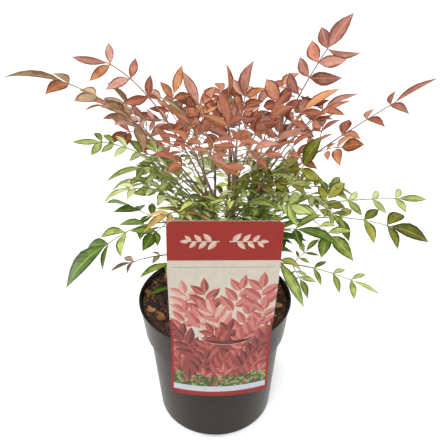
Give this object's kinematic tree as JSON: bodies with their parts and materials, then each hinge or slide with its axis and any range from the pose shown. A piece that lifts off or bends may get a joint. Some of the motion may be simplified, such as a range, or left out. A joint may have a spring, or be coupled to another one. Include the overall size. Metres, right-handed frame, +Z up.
{
  "type": "potted heavenly bamboo shrub",
  "caption": "Young evergreen shrub with thin upright canes and spreading compound leaves, red above and green below, in a black nursery pot with a plain picture card hooked on the rim.",
  "frame": {"origin": "middle of the pot's flat underside, where it stands on the floor", "axes": "+Z up the plant; -Y towards the side of the rim that carries the picture card; +X to the right as seen from there"},
  "size_m": [0.4461, 0.3212, 0.506],
  "materials": {
    "pot_plastic": "black moulded polypropylene, satin",
    "potting_soil": "dark bark compost with lighter bark chips",
    "card_plastic": "printed plastic sheet, red leaves on a pale ground, semi-gloss",
    "cane_bark": "grey-brown young bark with old leaf bases",
    "leaf_red": "satin leaf, brick and salmon red",
    "leaf_bronze": "satin leaf, orange bronze",
    "leaf_olive": "satin leaf, olive green",
    "leaf_green": "satin leaf, mid green",
    "leaf_lime": "satin leaf, light yellow green",
    "twig_dry": "dry grey-brown twig and leaflets"
  },
  "bodies": {
    "root": {"cane_1": "cane_bark", "cane_2": "cane_bark", "cane_3": "cane_bark", "cane_4": "cane_bark", "cane_5": "cane_bark", "cane_6": "cane_bark", "cane_7": "cane_bark", "cane_8": "cane_bark", "frond_back_high_1": "leaf_red", "frond_back_high_2": "leaf_red", "frond_back_high_3": "leaf_red", "frond_back_high_4": "leaf_red", "frond_back_high_5": "leaf_red", "frond_back_low_1": "leaf_green", "frond_back_low_2": "leaf_green", "frond_back_low_3": "leaf_green", "frond_back_low_4": "leaf_green", "frond_back_low_5": "leaf_green", "frond_front_green": "leaf_lime", "frond_front_green_left": "leaf_lime", "frond_front_green_right": "leaf_green", "frond_front_left": "leaf_lime", "frond_front_olive": "leaf_olive", "frond_front_red": "leaf_red", "frond_front_red_left": "leaf_red", "frond_front_red_right": "leaf_red", "frond_left_drooping": "leaf_green", "frond_left_dry": "twig_dry", "frond_left_high": "leaf_red", "frond_left_light": "leaf_lime", "frond_left_long": "leaf_bronze", "frond_left_low": "leaf_green", "frond_left_lower": "leaf_green", "frond_left_middle": "leaf_green", "frond_middle_red": "leaf_red", "frond_middle_red_left": "leaf_red", "frond_middle_red_right": "leaf_bronze", "frond_right_hanging": "leaf_green", "frond_right_high": "leaf_red", "frond_right_light": "leaf_lime", "frond_right_long": "leaf_red", "frond_right_low": "leaf_green", "frond_right_lower": "leaf_olive", "frond_right_middle": "leaf_red", "frond_right_near": "leaf_green", "frond_right_upright": "leaf_olive", "frond_top_centre": "leaf_red", "frond_top_left": "leaf_red", "frond_top_middle": "leaf_red", "frond_top_right": "leaf_red", "label_card": "card_plastic", "pot": "pot_plastic", "soil": "potting_soil"}
  },
  "joints": []
}
